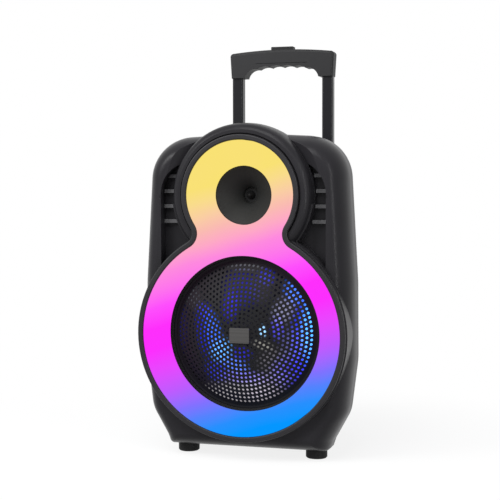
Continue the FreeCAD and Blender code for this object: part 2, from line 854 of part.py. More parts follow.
def make_tyre():
    rim = wheel_radius - tyre_thickness
    tyre = rod_x(wheel_d, wheel_radius, wheel_radius, tyre_inner_x, tyre_inner_x + tyre_width)
    tyre = tyre.makeFillet(3, [e for e in tyre.Edges if e.BoundBox.XLength < 0.1])
    return tyre.cut(rod_x(wheel_d, wheel_radius, rim, 0, big))


# ---- pull handle ----
def stage(level):
    """Outer width and depth of a handle stage: 0 inner tube, 1 middle tube, 2 fixed sleeve."""
    grow = 2 * level * (stage_gap + stage_wall)
    return tube_width + grow, tube_depth + grow


def stage_tube(level, z0, z1, thick):
    wide, deep = stage(level)
    outer = rounded_rect(tube_x, tube_d, wide, deep, tube_corner + level, z0, z1)
    inner = rounded_rect(tube_x, tube_d, wide - 2 * thick, deep - 2 * thick, tube_corner + level - thick,
                         z0 - 1, z1 + 1)
    return outer.cut(inner)


def make_sleeves():
    """Fixed sleeves inside the cabinet, each on two brackets to the rear wall."""
    wide, deep = stage(2)
    sleeve = stage_tube(2, sleeve_bottom, sleeve_top, stage_wall)
    parts = [sleeve]
    for z in (sleeve_bottom + 20, 350.0):
        back = tube_d + deep / 2
        parts.append(block(tube_x - 9, tube_x + 9, back - 0.2, rear_face_d - wall, z, z + 16))
    plug = rounded_rect(tube_x, tube_d, wide, deep, tube_corner + 2, sleeve_bottom - 3, sleeve_bottom)
    return group(both_sides(join(parts + [plug])))


def make_sleeve_collars():
    """Guides at the cabinet's top that the tubes run through."""
    wide, deep = collar_width() - 2 * stage_gap, collar_thick() - 2 * stage_gap
    middle = stage(1)
    low = sleeve_top + 0.0
    body = rounded_rect(tube_x, tube_d, wide, deep, tube_corner + 3, low, collar_top)
    top = [e for e in body.Edges if e.BoundBox.ZMin > collar_top - 0.1]
    body = body.makeFillet(1.5, top)
    hole = rounded_rect(tube_x, tube_d, middle[0] + 2 * stage_gap, middle[1] + 2 * stage_gap,
                        tube_corner + 1 + stage_gap, low - 1, collar_top + 1)
    return group(both_sides(body.cut(hole)))


def make_middle_tubes():
    tube = stage_tube(1, middle_bottom, collar_top + 0.3, stage_wall)
    wide, deep = stage(1)
    low = collar_top + 0.3
    cap = rounded_rect(tube_x, tube_d, wide + 3, deep + 3, tube_corner + 2, low, low + stage_cap)
    hole = rounded_rect(tube_x, tube_d, tube_width + 2 * stage_gap, tube_depth + 2 * stage_gap,
                        tube_corner + stage_gap, collar_top - 5, collar_top + 10)
    return group(both_sides(tube.fuse(cap.cut(hole)).removeSplitter()))


def make_inner_tubes():
    tube = stage_tube(0, inner_bottom, grip_bottom + 28, tube_wall)
    return group(both_sides(tube))


def grip_wire():
    """The grip from the front: arched top, rounded ends, finger hollows underneath."""
    y = y_at(0)

    def spot(x, z):
        return FreeCAD.Vector(x, y, z)

    tip = (2 * finger_pitch, grip_bottom + 17.2)
    under = [(0, grip_bottom + 20.8), (finger_pitch, grip_bottom + 20.0), tip]
    hollows = [(finger_pitch / 2, grip_bottom + 20.6 + finger_depth)]
    hollows.append((finger_pitch * 1.5, grip_bottom + 19 + finger_depth))
    side = [(grip_half - 2.5, grip_bottom), (grip_half, grip_end - grip_corner)]
    shoulder = (grip_half - grip_corner * 0.29, grip_end - grip_corner * 0.29)
    right = []
    for i, hollow in enumerate(hollows):
        right.append(Part.Arc(spot(*under[i]), spot(*hollow), spot(*under[i + 1])).toShape())
    bend = (grip_inner_x - 7.2, grip_bottom + 12.4)
    right.append(Part.Arc(spot(*tip), spot(*bend), spot(grip_inner_x, grip_bottom)).toShape())
    right.append(Part.LineSegment(spot(grip_inner_x, grip_bottom), spot(*side[0])).toShape())
    right.append(Part.LineSegment(spot(*side[0]), spot(*side[1])).toShape())
    crown_end = (grip_half - grip_corner, grip_end)
    right.append(Part.Arc(spot(*side[1]), spot(*shoulder), spot(*crown_end)).toShape())
    left = [mirrored(edge) for edge in right]
    top = Part.Arc(spot(*crown_end), spot(0, grip_crown), spot(-crown_end[0], grip_end)).toShape()
    return Part.Wire(Part.sortEdges(right + [top] + left)[0])


def grip_room():
    """Space inside the grip for the tubes, the rods and the button."""
    d0 = tube_d - grip_depth / 2 + 4
    d1 = tube_d + grip_depth / 2 - 4
    bar = block(-grip_half + 4, grip_half - 4, d0, d1, grip_bottom + 29, grip_bottom + 45)
    half = button_half + 0.4
    reach = button_depth / 2 + 0.4
    slot = block(-half, half, tube_d - reach, tube_d + reach, grip_bottom + 40, grip_crown + 20)
    rooms = [bar, slot]
    gap = 0.05
    for side in (-1, 1):
        rooms.append(rounded_rect(side * tube_x, tube_d, tube_width + gap, tube_depth + gap, tube_corner,
                                  grip_bottom - 1, grip_bottom + 30))
    return rooms


def make_grip():
    """Front and back halves of the grip."""
    front_d = tube_d - grip_depth / 2
    back_d = tube_d + grip_depth / 2
    solid = prism(grip_wire(), front_d, back_d)
    wanted = []
    for edge in solid.Edges:
        ends_on_face = (abs(edge.BoundBox.YMax - y_at(front_d)) < 0.01
                        or abs(edge.BoundBox.YMin - y_at(back_d)) < 0.01)
        middle = edge.CenterOfMass
        outer_side = middle.z > grip_bottom + 34 or abs(middle.x) > grip_half - 4
        if ends_on_face and edge.BoundBox.YLength < 0.1 and outer_side:
            wanted.append(edge)
    solid = solid.makeFillet(grip_round, wanted)
    solid = solid.cut(grip_room())
    groove = block(-52, 52, front_d - 1, front_d + 1.0, grip_bottom + 27, grip_bottom + 28.2)
    solid = solid.cut(groove)
    front = solid.common(block(-big, big, 0, tube_d, 0, 2 * big))
    rear = solid.common(block(-big, big, tube_d, big, 0, 2 * big))
    return front, rear


def make_grip_button():
    top = grip_crown + button_rise
    reach = button_depth / 2
    shape = block(-button_half, button_half, tube_d - reach, tube_d + reach, grip_bottom + 37, top)
    edges = [e for e in shape.Edges if e.BoundBox.ZMin > top - 0.1]
    shape = shape.makeFillet(1.2, edges)
    rim = block(-button_half - 3, button_half + 3, tube_d - 9.5, tube_d + 9.5,
                grip_bottom + 37, grip_bottom + 39.5)
    return shape.fuse(rim)


def make_lock_rods():
    """Bar under the button with a rod down each tube."""
    top = grip_bottom + 37
    bar = block(-tube_x - rod_radius, tube_x + rod_radius, tube_d - 3, tube_d + 3, top - 3, top)
    rods = [rod_z(side * tube_x, tube_d, rod_radius, inner_bottom + 10, top - 2) for side in (-1, 1)]
    return join([bar] + rods)


def make_button_spring():
    """Spring under the bar, drawn as its outer sleeve."""
    low = grip_bottom + 29
    high = grip_bottom + 34
    return rod_z(0, tube_d, 5, low, high).cut(rod_z(0, tube_d, 3.6, low - 1, high + 1))


# ---- control panel ----
def post_places():
    """Corners where the amplifier board stands on the panel."""
    return [(side * (panel_half - post_inset), z) for side in (-1, 1)
            for z in (panel_low + post_inset, panel_high - post_inset)]


def knob_places():
    return [(i * knob_pitch, knob_row_z) for i in (-1, 0, 1)]


def key_places():
    return [((1.5 - i) * key_pitch, key_row_z) for i in range(4)]


mic_x = (-58.0, -36.0)
aux_x = -17.0
usb_x = 3.0
dc_x = 24.0
rocker_x = 50.0
display = (-34.0, 34.0, 488.0, 512.0)


def make_control_panel():
    """Recessed dish in the rear wall that carries every control and socket."""
    edge = panel_half
    lip = edge + panel_lip
    body = block(-edge, edge, panel_floor_d, rear_face_d + 0.2, panel_low, panel_high)
    rim = block(-lip, lip, rear_face_d, depth, panel_low - panel_lip, panel_high + panel_lip)
    rim = rim.makeFillet(3, [e for e in rim.Edges if e.BoundBox.YLength > 1.5])
    inside = edge - panel_sheet
    dish_room = block(-inside, inside, panel_face_d, depth + 1,
                      panel_low + panel_sheet, panel_high - panel_sheet)
    panel = body.fuse(rim).cut(dish_room)
    posts = [rod_y(x, z, post_radius, board_face_d, panel_floor_d) for x, z in post_places()]
    panel = panel.fuse(posts)
    d0, d1 = panel_floor_d - 1, panel_face_d + 1
    holes = [rod_y(x, z, knob_shaft + 0.3, d0, d1) for x, z in knob_places()]
    holes += [rod_y(x, z, key_radius + key_gap, d0, d1) for x, z in key_places()]
    holes += [rod_y(x, socket_row_z, 6.0, d0, d1) for x in mic_x]
    holes.append(rod_y(aux_x, socket_row_z, 4.0, d0, d1))
    holes.append(rod_y(dc_x, socket_row_z, 5.5, d0, d1))
    holes.append(block(usb_x - 7.5, usb_x + 7.5, d0, d1, socket_row_z - 4, socket_row_z + 4))
    holes.append(block(rocker_x - 10.4, rocker_x + 10.4, d0, d1, socket_row_z - 7.4, socket_row_z + 7.4))
    holes.append(block(display[0] + 3, display[1] - 3, d0, d1, display[2] + 3, display[3] - 3))
    return panel.cut(holes)


def make_display():
    """Window over the number display."""
    face = panel_face_d
    return block(display[0], display[1], face, face + 1.5, display[2], display[3])


def socket(x, radius, bore, flange_radius, length):
    """Round socket body behind the panel with a flange in front of it."""
    face = panel_face_d
    body = rod_y(x, socket_row_z, radius, face - length, face + 1.8)
    rim = rod_y(x, socket_row_z, flange_radius, face, face + 1.8)
    return body.fuse(rim).cut(rod_y(x, socket_row_z, bore, face - length + 3, face + 5))


def make_mic_jacks():
    return group([socket(x, 6.0, mic_bore, 8.0, 20.5) for x in mic_x])


def make_aux_jack():
    return socket(aux_x, 4.0, aux_bore, 5.5, 16.0)


def make_dc_inlet():
    return socket(dc_x, 5.5, dc_bore, 7.0, 14.0)


def make_usb_socket():
    face = panel_face_d
    shell = block(usb_x - 7.5, usb_x + 7.5, face - 15, face + 1.2, socket_row_z - 4, socket_row_z + 4)
    return shell.cut(block(usb_x - 6.25, usb_x + 6.25, face - 14, face + 5,
                           socket_row_z - 2.6, socket_row_z + 2.6))


def make_knob(x, z):
    """Fluted knob on its shaft."""
    start = panel_face_d + 0.6
    end = panel_face_d + knob_height
    knob = rod_y(x, z, knob_radius, start, end)
    rim = [e for e in knob.Edges if abs(e.BoundBox.YMin - y_at(end)) < 0.05 and e.BoundBox.YLength < 0.1]
    knob = knob.makeFillet(1.2, rim)
    flutes = []
    for fx, fz in ring_places(knob_radius + 0.7, 18, 0.0):
        flutes.append(rod_y(x + fx, z + fz, 1.3, start + 2, end - 1.5))
    pointer = block(x - 0.6, x + 0.6, end - 0.7, end + 1, z + 2, z + knob_radius + 1)
    knob = knob.cut(flutes + [pointer])
    return knob.fuse(rod_y(x, z, knob_shaft, board_face_d + 12.5, start + 1))


def make_key(x, z):
    """Push button with a hidden rim that keeps it in the panel."""
    face = panel_face_d
    cap = rod_y(x, z, key_radius, panel_floor_d - 2.5, face + 3)
    cap = cap.makeFillet(0.8, [e for e in cap.Edges if abs(e.BoundBox.YMax - y_at(face + 3)) < 0.05
                               and e.BoundBox.YLength < 0.1])
    return cap.fuse(rod_y(x, z, key_radius + 1.5, panel_floor_d - 2.5, panel_floor_d - 0.3))


def make_rocker():
    """Power rocker, tipped to off."""
    face = panel_face_d
    profile = [(-9.8, face - 4), (9.8, face - 4), (9.8, face + 2.4), (0, face + 1.2), (-9.8, face + 2.4)]
    corners = [point(rocker_x + x, d, socket_row_z - 6.6) for x, d in profile]
    rocker = Part.Face(Part.makePolygon(corners + corners[:1])).extrude(FreeCAD.Vector(0, 0, 13.2))
    rocker.rotate(point(rocker_x, face, socket_row_z), FreeCAD.Vector(0, 0, 1), rocker_tilt)
    return rocker


def make_rocker_frame():
    """Frame that the rocker tips in."""
    face = panel_face_d
    outer = block(rocker_x - 13, rocker_x + 13, face, face + 1.2, socket_row_z - 10, socket_row_z + 10)
    return outer.cut(block(rocker_x - 10.4, rocker_x + 10.4, face - 1, face + 3,
                           socket_row_z - 7.4, socket_row_z + 7.4))


def make_amplifier_board():
    """Board on the panel's posts, with the pots behind the knobs."""
    half = panel_half - 4
    board = block(-half, half, board_back_d, board_face_d, panel_low + 2, panel_high - 2)
    pots = []
    for x, z in knob_places():
        pot = rod_y(x, z, knob_radius - 1, board_face_d - 0.5, board_face_d + 10)
        pots.append(pot.cut(rod_y(x, z, knob_shaft - 0.6, board_face_d + 3, board_face_d + 11)))
    return join([board] + pots)


def make_heatsink():
    base_d = board_back_d - 4
    low = panel_low + 34
    base = block(-60, -14, base_d, board_back_d, low, low + 70)
    fins = [block(-60 + i * 6, -58 + i * 6, base_d - 20.4, base_d + 0.6, low, low + 70) for i in range(8)]
    return join([base] + fins)


# ---- inside ----
def make_battery():
    shape = block(-battery_half, battery_half, battery_d, battery_d + battery_depth, base_z + wall,
                  base_z + wall + battery_height)
    return shape.makeFillet(3, [e for e in shape.Edges if e.BoundBox.ZLength > 10])


def make_battery_strap():
    low = base_z + wall
    top = low + battery_height + 0.3
    half = battery_half + 0.3
    middle = battery_d + battery_depth / 2
    outer = block(-half - strap, half + strap, middle - 10, middle + 10, low, top + strap)
    arch = outer.cut(block(-half, half, middle - 11, middle + 11, low - 1, top))
    tab = block(half, half + 8, middle - 10, middle + 10, low, low + strap)
    return join([arch] + both_sides(tab))


def make_port():
    """Bass port through the rear wall."""
    start = rear_face_d - port_length
    outer = port_radius + port_wall
    profile = [(port_radius, start), (port_radius, depth - 4), (port_radius + 4, depth), (outer + 10, depth)]
    profile += [(outer + 10, rear_face_d), (outer, rear_face_d), (outer, start)]
    return turned(profile, port_z)


def make_shell_screws():
    return group([headed_screw_y(x, z, split_d + 3, 3, split_d - 15) for x, z in screw_wells()])


def make_panel_screws():
    """Screws that hold the amplifier board to the panel's posts."""
    return group([rod_y(x, z, post_radius - 0.5, board_back_d - 2, board_back_d) for x, z in post_places()])


def nodes():
    front, rear = make_shells()
    grip_front, grip_rear = make_grip()
    keys = key_places()
    knobs = knob_places()
    hub = make_hub()
    tyre = make_tyre()
    made = {"front_shell": front, "rear_shell": rear, "light_bezel": make_bezel(),
            "light_diffuser": make_diffuser()}
    made.update({"led_board": make_led_board(), "leds": make_leds(), "woofer_trim_ring": make_trim_ring()})
    made.update({"vent_ribs": make_vent_ribs(), "woofer_grille": make_grille(), "grille_badge": make_badge()})
    made.update({"woofer_basket": make_basket(), "woofer_surround": make_surround(),
                 "woofer_cone": make_cone()})
    made.update({"dust_cap": make_dust_cap(), "voice_coil": make_voice_coil(),
                 "woofer_spider": make_spider()})
    made.update({"woofer_magnet": make_magnet(), "magnet_plates": make_magnet_plates()})
    made.update({"woofer_screws": make_woofer_screws(), "tweeter_horn": make_horn()})
    made.update({"tweeter_dome": make_tweeter_dome(), "tweeter_magnet": make_tweeter_magnet()})
    made.update({"front_feet": make_feet(), "foot_screws": make_foot_screws(), "wheel_axle": make_axle()})
    made.update({"wheel_hub_right": hub, "wheel_hub_left": mirrored(hub)})
    made.update({"wheel_tyre_right": tyre, "wheel_tyre_left": mirrored(tyre)})
    made.update({"handle_sleeves": make_sleeves(), "sleeve_collars": make_sleeve_collars()})
    made.update({"middle_tubes": make_middle_tubes(), "inner_tubes": make_inner_tubes()})
    made.update({"grip_front": grip_front, "grip_rear": grip_rear, "grip_button": make_grip_button()})
    made.update({"lock_rods": make_lock_rods(), "button_spring": make_button_spring()})
    made.update({"control_panel": make_control_panel(), "display_window": make_display()})
    made.update({"mic_jacks": make_mic_jacks(), "aux_jack": make_aux_jack(), "dc_inlet": make_dc_inlet()})
    made.update({"usb_socket": make_usb_socket(), "rocker_frame": make_rocker_frame()})
    made.update({"power_rocker": make_rocker(), "amplifier_board": make_amplifier_board()})
    made.update({"heatsink": make_heatsink(), "board_screws": make_panel_screws()})
    made.update({"battery_pack": make_battery(), "battery_strap": make_battery_strap()})
    made.update({"bass_port": make_port(), "shell_screws": make_shell_screws()})
    for name, place in zip(("knob_echo", "knob_volume", "knob_bass"), knobs):
        made[name] = make_knob(*place)
    for name, place in zip(("key_mode", "key_back", "key_play", "key_next"), keys):
        made[name] = make_key(*place)
    return made


def main():
    os.makedirs("parts", exist_ok=True)
    for name, shape in nodes().items():
        shape.exportStep("parts/" + name + ".step")
        print(name, len(shape.Solids), "solids", round(shape.Volume / 1000, 1), "cm3", shape.isValid())


main()
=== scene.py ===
"""Looks of a trolley party speaker, laid out as a Blender add-on and run as a script."""

import math

import bmesh
import bpy
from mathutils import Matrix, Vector, geometry


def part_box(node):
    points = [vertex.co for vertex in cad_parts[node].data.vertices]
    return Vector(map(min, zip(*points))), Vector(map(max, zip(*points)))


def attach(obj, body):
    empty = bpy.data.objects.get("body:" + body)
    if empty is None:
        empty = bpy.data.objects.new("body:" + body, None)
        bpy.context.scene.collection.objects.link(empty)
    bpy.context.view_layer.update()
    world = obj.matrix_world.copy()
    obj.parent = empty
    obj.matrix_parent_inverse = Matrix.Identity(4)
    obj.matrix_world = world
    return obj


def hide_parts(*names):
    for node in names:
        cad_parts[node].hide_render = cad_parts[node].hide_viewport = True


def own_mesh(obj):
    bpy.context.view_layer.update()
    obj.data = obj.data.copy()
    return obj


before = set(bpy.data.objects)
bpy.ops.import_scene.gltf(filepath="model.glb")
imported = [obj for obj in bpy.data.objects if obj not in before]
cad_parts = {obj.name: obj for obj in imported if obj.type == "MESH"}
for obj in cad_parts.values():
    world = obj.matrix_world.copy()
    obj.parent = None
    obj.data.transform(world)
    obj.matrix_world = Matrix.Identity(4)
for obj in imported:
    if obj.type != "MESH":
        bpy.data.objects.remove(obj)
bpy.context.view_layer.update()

bl_info = {
    "name": "Party Speaker Looks",
    "version": (1, 0, 0),
    "blender": (4, 5, 0),
    "location": "View3D > Sidebar > Speaker",
    "description": "Finishes, lights and the perforated grille of a trolley party speaker",
    "category": "Object",
}

GRILLE_LOW, GRILLE_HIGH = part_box("woofer_grille")
GRILLE_CENTRE = (GRILLE_LOW + GRILLE_HIGH) / 2
GRILLE_RADIUS = (GRILLE_HIGH.x - GRILLE_LOW.x) / 2

KNOBS = ("knob_echo", "knob_volume", "knob_bass")
KEYS = ("key_mode", "key_back", "key_play", "key_next")


# ---- sizes and colours ----
def colour_prop(name, description, default):
    return bpy.props.FloatVectorProperty(name=name, description=description, subtype="COLOR", size=3,
                                         default=default, min=0.0, max=1.0)


def length_prop(name, description, default):
    return bpy.props.FloatProperty(name=name, description=description, subtype="DISTANCE", unit="LENGTH",
                                   default=default, min=0.0, precision=4)


def share_prop(name, description, default, top=1.0):
    return bpy.props.FloatProperty(name=name, description=description, subtype="FACTOR", default=default,
                                   min=0.0, max=top)


class CabinetLooks(bpy.types.PropertyGroup):
    shell: colour_prop("Shell", "Colour of the moulded shells", (0.0170, 0.0163, 0.0186))
    trim: colour_prop("Trim", "Colour of the frames inside the front", (0.0060, 0.0060, 0.0068))
    # the slats are painted much lighter than the shell: a painted highlight for the light they catch from the
    # front
    ribs: colour_prop("Ribs", "Colour of the slats in the side pockets", (0.085, 0.084, 0.088))
    rubber: colour_prop("Rubber", "Colour of the feet and tyres", (0.0070, 0.0070, 0.0075))
    grain: length_prop("Grain", "Size of the moulded grain", 0.0011)


class LightLooks(bpy.types.PropertyGroup):
    strength: share_prop("Strength", "Brightness of the lit ring", 1.0, 4.0)
    lean: share_prop("Lean", "How far the colours run ahead on the right", 0.31)
    # brightness of the painted glow on the woofer, which stands in for the LED light and reflections behind
    # the grille
    painted_glow: share_prop("Glow", "Brightness of the lights behind the grille", 1.0, 10.0)


class GrilleLooks(bpy.types.PropertyGroup):
    ring_pitch: length_prop("Ring pitch", "Distance between rings of holes", 0.0077)
    hole: length_prop("Hole", "Diameter of a hole", 0.0046)
    sheet: length_prop("Sheet", "Thickness of the steel sheet", 0.0012)
    paint: colour_prop("Paint", "Powder coat of the grille", (0.0080, 0.0080, 0.0092))
    plate: colour_prop("Plate", "Colour of the blank plate", (0.060, 0.058, 0.057))


class HandleLooks(bpy.types.PropertyGroup):
    tube: colour_prop("Tube", "Lacquer on the telescopic tubes", (0.0100, 0.0100, 0.0120))
    grip: colour_prop("Grip", "Colour of the grip", (0.0125, 0.0125, 0.0135))


class StageLooks(bpy.types.PropertyGroup):
    paper: colour_prop("Paper", "Colour of the floor", (0.93, 0.93, 0.93))
    camera_place: bpy.props.FloatVectorProperty(name="Camera", description="Where the camera stands",
                                                subtype="TRANSLATION", unit="LENGTH", size=3,
                                                default=(0.5995, -2.1926, 0.4878))
    lens: bpy.props.FloatProperty(name="Lens", description="Focal length", default=86.52, min=10.0)


SETTINGS = (CabinetLooks, LightLooks, GrilleLooks, HandleLooks, StageLooks)
SETTING_NAMES = ("speaker_cabinet", "speaker_light", "speaker_grille", "speaker_handle", "speaker_stage")


def looks(name):
    return getattr(bpy.context.scene, "speaker_" + name)


# ---- finishes ----
def start(name, rough=0.5, metal=0.0):
    """A new material with its shader and tree."""
    made = bpy.data.materials.new(name)
    made.use_nodes = True
    tree = made.node_tree
    shader = tree.nodes["Principled BSDF"]
    shader.inputs["Roughness"].default_value = rough
    shader.inputs["Metallic"].default_value = metal
    return made, tree, shader


def add(tree, kind, **values):
    node = tree.nodes.new(kind)
    for key, value in values.items():
        setattr(node, key, value)
    return node


def math_node(tree, operation, first, second=None, clamp=False):
    node = add(tree, "ShaderNodeMath", operation=operation, use_clamp=clamp)
    for socket, value in zip(node.inputs, (first, second)):
        if value is None:
            continue
        if isinstance(value, (int, float)):
            socket.default_value = value
        else:
            tree.links.new(value, socket)
    return node.outputs[0]


def place(tree):
    return add(tree, "ShaderNodeTexCoord").outputs["Object"]


def split_place(tree):
    """X, Y and Z of the point, as three sockets."""
    split = add(tree, "ShaderNodeSeparateXYZ")
    tree.links.new(place(tree), split.inputs[0])
    return split.outputs["X"], split.outputs["Y"], split.outputs["Z"]


def noise(tree, scale, detail=2.0, where=None):
    node = add(tree, "ShaderNodeTexNoise")
    node.inputs["Scale"].default_value = scale
    node.inputs["Detail"].default_value = detail
    tree.links.new(where or place(tree), node.inputs["Vector"])
    return node.outputs["Fac"]


def ramp(tree, factor, stops, smooth=False):
    node = add(tree, "ShaderNodeValToRGB")
    node.color_ramp.interpolation = "EASE" if smooth else "LINEAR"
    elements = node.color_ramp.elements
    while len(elements) < len(stops):
        elements.new(0.5)
    for element, (at, colour) in zip(elements, stops):
        element.position = at
        element.color = (*colour, 1.0)
    tree.links.new(factor, node.inputs["Fac"])
    return node.outputs["Color"]


def two_tones(tree, factor, dark, light):
    """Two close colours that follow a noise."""
    return ramp(tree, factor, ((0.3, dark), (0.7, light)))


def vary_roughness(tree, shader, factor, low, high):
    change = add(tree, "ShaderNodeMapRange")
    change.inputs["To Min"].default_value = low
    change.inputs["To Max"].default_value = high
    tree.links.new(factor, change.inputs["Value"])
    tree.links.new(change.outputs["Result"], shader.inputs["Roughness"])


def add_bump(tree, shader, height, strength, distance, below=None):
    """Relief on the shader, over the normal it is given."""
    bump = add(tree, "ShaderNodeBump")
    bump.inputs["Strength"].default_value = strength
    bump.inputs["Distance"].default_value = distance
    tree.links.new(height, bump.inputs["Height"])
    if below is not None:
        tree.links.new(below, bump.inputs["Normal"])
    tree.links.new(bump.outputs["Normal"], shader.inputs["Normal"])


def scaled(colour, share):
    return tuple(min(1.0, c * share) for c in colour)


EDGE_REACH = 0.0008
EDGE_GAIN = 6.0
RUBBED_LIGHTER = 3.0


def edge_mask(tree):
    """1 along sharp edges and 0 on flat ground, and the rounded normal."""
    bevel = add(tree, "ShaderNodeBevel", samples=4)
    bevel.inputs["Radius"].default_value = EDGE_REACH
    flat = add(tree, "ShaderNodeNewGeometry").outputs["Normal"]
    dot = add(tree, "ShaderNodeVectorMath", operation="DOT_PRODUCT")
    tree.links.new(bevel.outputs["Normal"], dot.inputs[0])
    tree.links.new(flat, dot.inputs[1])
    away = math_node(tree, "SUBTRACT", 1.0, dot.outputs["Value"])
    return math_node(tree, "MULTIPLY", away, EDGE_GAIN, True), bevel.outputs["Normal"]


def moulded(name, colour, rough=0.48, grain=0.0011, depth=0.05, wear=0.5, spread=0.12, metal=0.0,
            specular=0.2):
    """Moulded or painted finish: fine grain, slow change of tone, rubbed edges."""
    made, tree, shader = start(name, rough, metal)
    shader.inputs["Specular IOR Level"].default_value = specular
    where = place(tree)
    slow = noise(tree, 9.0, 3.0, where)
    fine = noise(tree, 1.0 / grain, 2.0, where)
    tone = two_tones(tree, slow, scaled(colour, 1 - spread), scaled(colour, 1 + spread))
    mask, rounded = edge_mask(tree)
    patchy = math_node(tree, "MULTIPLY", mask, noise(tree, 60.0, 2.0, where))
    worn = add(tree, "ShaderNodeMix", data_type="RGBA")
    tree.links.new(math_node(tree, "MULTIPLY", patchy, wear, True), worn.inputs["Factor"])
    tree.links.new(tone, worn.inputs[6])
    worn.inputs[7].default_value = (*scaled(colour, RUBBED_LIGHTER), 1.0)
    tree.links.new(worn.outputs[2], shader.inputs["Base Color"])
    vary_roughness(tree, shader, fine, rough - 0.05, rough + 0.06)
    add_bump(tree, shader, fine, depth, grain, rounded)
    return made


def brushed(name, colour, rough=0.32, along=(400.0, 8.0, 400.0), metal=1.0):
    """Metal with fine lines drawn along one direction."""
    made, tree, shader = start(name, rough, metal)
    mapping = add(tree, "ShaderNodeMapping")
    mapping.inputs["Scale"].default_value = along
    tree.links.new(place(tree), mapping.inputs["Vector"])
    lines = noise(tree, 1.0, 3.0, mapping.outputs["Vector"])
    tone = two_tones(tree, lines, scaled(colour, 0.8), scaled(colour, 1.2))
    tree.links.new(tone, shader.inputs["Base Color"])
    vary_roughness(tree, shader, lines, rough - 0.08, rough + 0.1)
    add_bump(tree, shader, lines, 0.08, 0.0004)
    return made


def dress(material, *names):
    """Puts one material on each of the named CAD pieces."""
    for name in names:
        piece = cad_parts[name]
        piece.data.materials.clear()
        piece.data.materials.append(material)


def srgb(red, green, blue):
    """Linear colour of a screen colour given from 0 to 255."""
    return tuple(((c / 255 + 0.055) / 1.055) ** 2.4 if c > 10 else c / 255 / 12.92
                 for c in (red, green, blue))


def new_object(name, shape, material=None):
    """A new object in the scene from a bmesh, which is freed."""
    mesh = bpy.data.meshes.new(name)
    shape.to_mesh(mesh)
    shape.free()
    if material is not None:
        mesh.materials.append(material)
    made = bpy.data.objects.new(name, mesh)
    bpy.context.scene.collection.objects.link(made)
    return made


# ---- lights ----
# how far along the ring from its yellow crown to its blue foot, and the colour there
RING_COLOURS = (
    (0.000, (249, 226, 112)), (0.062, (249, 220, 138)), (0.125, (250, 205, 163)), (0.180, (250, 186, 178)),
    (0.233, (254, 168, 198)), (0.290, (254, 137, 223)), (0.360, (254, 112, 239)), (0.420, (254, 78, 253)),
    (0.500, (254, 46, 252)), (0.580, (252, 46, 254)), (0.660, (232, 70, 254)), (0.760, (190, 90, 254)),
    (0.845, (128, 113, 255)), (0.895, (84, 130, 254)), (0.945, (38, 143, 254)), (1.000, (0, 150, 255)),
)
RING_TOP = 0.284  # height of the crown over the middle of the grille
RING_LENGTH = 0.465

# painted light behind the grille: patches of glow on the cone, surround and basket that stand in for the LED
# light inside and its reflections, measured from its middle in millimetres:
# across, up, half width, half height, turn in degrees, colour, strength
PAINTED_LIGHT_PATCHES = (
    (-54, 2, 17, 44, 12, (60, 110, 255), 1.2),
    (-40, -30, 22, 24, -35, (95, 170, 255), 1.4),
    (-14, -56, 30, 15, -18, (90, 130, 255), 1.1),
    (-74, 2, 15, 50, 10, (30, 40, 220), 0.8),
    (-70, 42, 14, 18, 30, (60, 60, 255), 0.7),
    (-48, -66, 26, 22, -40, (50, 60, 235), 0.7),
    (4, -78, 50, 14, -2, (130, 120, 230), 0.9),
    (0, -106, 78, 24, 0, (200, 195, 200), 0.65),
    (48, -88, 48, 26, 24, (165, 155, 185), 0.6),
    (-2, -36, 22, 14, 0, (40, 35, 225), 0.7),
    (86, -62, 36, 30, 38, (70, 60, 230), 0.8),
    (60, -44, 34, 22, 20, (135, 130, 140), 0.5),
    (96, -14, 26, 34, 0, (110, 110, 185), 0.6),
    (126, 14, 18, 62, -2, (80, 170, 255), 1.7),
    (112, -4, 22, 84, 0, (45, 60, 255), 0.9),
    (100, 80, 22, 26, 40, (70, 120, 255), 1.4),
    (78, 46, 22, 30, -30, (160, 160, 200), 0.7),
    (68, 14, 14, 24, 0, (90, 80, 250), 0.8),
    (-22, 52, 18, 30, -10, (60, 50, 235), 0.7),
    (0, 84, 36, 36, 0, (60, 55, 200), 0.55),
    (46, 106, 18, 16, -20, (60, 60, 230), 0.7),
    (8, 124, 40, 10, 0, (130, 130, 135), 0.5),
    (38, 84, 22, 34, 0, (90, 85, 110), 0.35),
    (40, 8, 8, 12, 0, (150, 205, 255), 1.6),
    (40, -18, 22, 9, -15, (170, 168, 160), 0.7),
    (-92, 66, 18, 26, 15, (115, 115, 125), 0.35),
    (-116, 10, 14, 50, 0, (35, 30, 120), 0.5),
)
PATCH_DEPTH = -0.150  # where a patch stands at its own place
PATCH_LEAN_ACROSS = 0.295  # how far it moves over for each metre further in
PATCH_LEAN_UP = 0.128


def lit_ring():
    """Milky diffuser lit from behind in colours that change down the ring."""
    light = looks("light")
    made, tree, shader = start("lit_diffuser", 0.34)
    x, _, z = split_place(tree)
    across = math_node(tree, "MULTIPLY", x, light.lean)
    height = math_node(tree, "SUBTRACT", z, GRILLE_CENTRE.z + RING_TOP)
    down = math_node(tree, "SUBTRACT", across, height)
    share = math_node(tree, "DIVIDE", down, RING_LENGTH, True)
    wander = math_node(tree, "MULTIPLY", noise(tree, 14.0, 1.0), 0.02)
    share = math_node(tree, "ADD", share, wander, True)
    colours = ramp(tree, share, [(at, srgb(*colour)) for at, colour in RING_COLOURS])
    tree.links.new(colours, shader.inputs["Emission Color"])
    shader.inputs["Emission Strength"].default_value = light.strength
    shader.inputs["Base Color"].default_value = (0.001, 0.001, 0.001, 1.0)
    shader.inputs["Specular IOR Level"].default_value = 0.0
    return made


